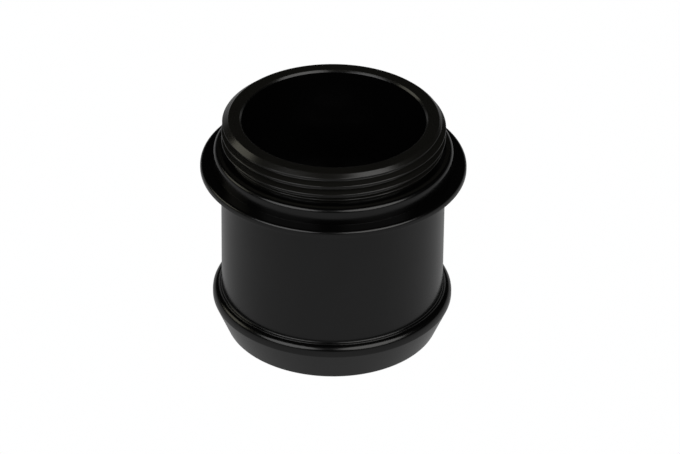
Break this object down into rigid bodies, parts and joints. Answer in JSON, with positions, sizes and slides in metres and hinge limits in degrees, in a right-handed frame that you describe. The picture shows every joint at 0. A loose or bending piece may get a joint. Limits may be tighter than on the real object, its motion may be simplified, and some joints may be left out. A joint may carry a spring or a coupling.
{
  "type": "laser collimator",
  "caption": "Laser collimator in a black flanged nosepiece: tapered guide bead, undercut barrel, male rear thread round an open bore, tilting laser module and push button inside.",
  "frame": {"origin": "centre of the nose rim, where the part stands on a flat surface", "axes": "+Z along the axis from the nose towards the threaded end; the laser shines along -Z; +Y towards the adjusting screw"},
  "size_m": [0.0348, 0.0348, 0.0314],
  "materials": {
    "black_anodised": "turned and black anodised, satin to semi-gloss",
    "inner_black": "matt black anodised",
    "glass": "polished, anti-reflection coated",
    "rubber": "moulded nitrile, matt",
    "brass": "turned, bare",
    "steel": "bright zinc-plated or stainless",
    "dark_steel": "black oxide",
    "nickel": "nickel-plated",
    "gold_can": "gold-flashed steel can",
    "board": "green solder mask on glass epoxy",
    "chip": "moulded black epoxy",
    "black_plastic": "moulded, fine texture"
  },
  "bodies": {
    "casing": {"casing": "black_anodised", "window_retainer": "inner_black", "nose_window": "glass", "window_gasket": "rubber", "aperture_stop": "inner_black", "pivot_ring": "rubber", "battery_tray": "black_plastic", "coin_cell": "nickel", "pivot_washers": "steel"},
    "laser_module": {"alignment_plate": "inner_black", "module_housing": "brass", "lens_spring": "steel", "laser_diode": "gold_can", "driver_board": "board", "driver_parts": "chip", "contact_spring": "nickel"},
    "focus_lens": {"collimating_lens": "glass"},
    "lens_cell": {"lens_cell": "brass"},
    "adjusting_washer": {"adjusting_washer": "steel"},
    "adjusting_screw": {"adjusting_screw": "dark_steel"},
    "pivot_screw_left": {"pivot_screw_left": "dark_steel"},
    "pivot_screw_right": {"pivot_screw_right": "dark_steel"},
    "battery_cover": {"battery_cover": "inner_black", "positive_contact": "steel", "switch_body": "black_plastic", "button_spring": "steel"},
    "cover_ring": {"cover_ring": "inner_black"},
    "power_button": {"power_button": "black_plastic"}
  },
  "joints": [
    {"name": "adjusting_screw_turn", "type": "hinge", "parent": "adjusting_washer", "child": "adjusting_screw", "pos_m": [0, 0.0086, 0.007], "axis": [0, 0, 1], "range_deg": [-160, 160]},
    {"name": "adjusting_washer_slide", "type": "slide", "parent": "casing", "child": "adjusting_washer", "axis": [0, 0, 1], "range_m": [-0.000177, 0.000177]},
    {"name": "module_tilt", "type": "hinge", "parent": "casing", "child": "laser_module", "pos_m": [0, -0.0043, 0.0067], "axis": [1, 0, 0], "range_deg": [-0.8, 0.8], "deforming": ["pivot_ring"]},
    {"name": "pivot_screw_left_turn", "type": "hinge", "parent": "casing", "child": "pivot_screw_left", "pos_m": [-0.00745, -0.0043, 0.007], "axis": [0, 0, 1], "range_deg": [-180, 180]},
    {"name": "pivot_screw_right_turn", "type": "hinge", "parent": "casing", "child": "pivot_screw_right", "pos_m": [0.00745, -0.0043, 0.007], "axis": [0, 0, 1], "range_deg": [-180, 180]},
    {"name": "lens_focus", "type": "slide", "parent": "laser_module", "child": "focus_lens", "axis": [0, 0, 1], "range_m": [-0.00025, 0.00025], "deforming": ["lens_spring"]},
    {"name": "lens_cell_turn", "type": "hinge", "parent": "focus_lens", "child": "lens_cell", "pos_m": [0, 0, 0.0047], "axis": [0, 0, 1], "range_deg": [-360, 360]},
    {"name": "cover_lift", "type": "slide", "parent": "casing", "child": "battery_cover", "axis": [0, 0, 1], "range_m": [0, 0.0015]},
    {"name": "cover_ring_turn", "type": "hinge", "parent": "battery_cover", "child": "cover_ring", "pos_m": [0, 0, 0.0152], "axis": [0, 0, 1], "range_deg": [0, 1080]},
    {"name": "power_button_press", "type": "slide", "parent": "battery_cover", "child": "power_button", "axis": [0, 0, -1], "range_m": [0, 0.0005], "stiffness_N_per_m": 1200, "springref_m": -0.0003, "deforming": ["button_spring"]}
  ],
  "couplings": [
    {"joint": "adjusting_screw_turn", "follows": "adjusting_washer_slide", "rad_per_m": 15708},
    {"joint": "module_tilt", "follows": "adjusting_washer_slide", "rad_per_m": 77.519},
    {"joint": "lens_cell_turn", "follows": "lens_focus", "rad_per_m": 25133},
    {"joint": "cover_ring_turn", "follows": "cover_lift", "rad_per_m": 12566}
  ]
}
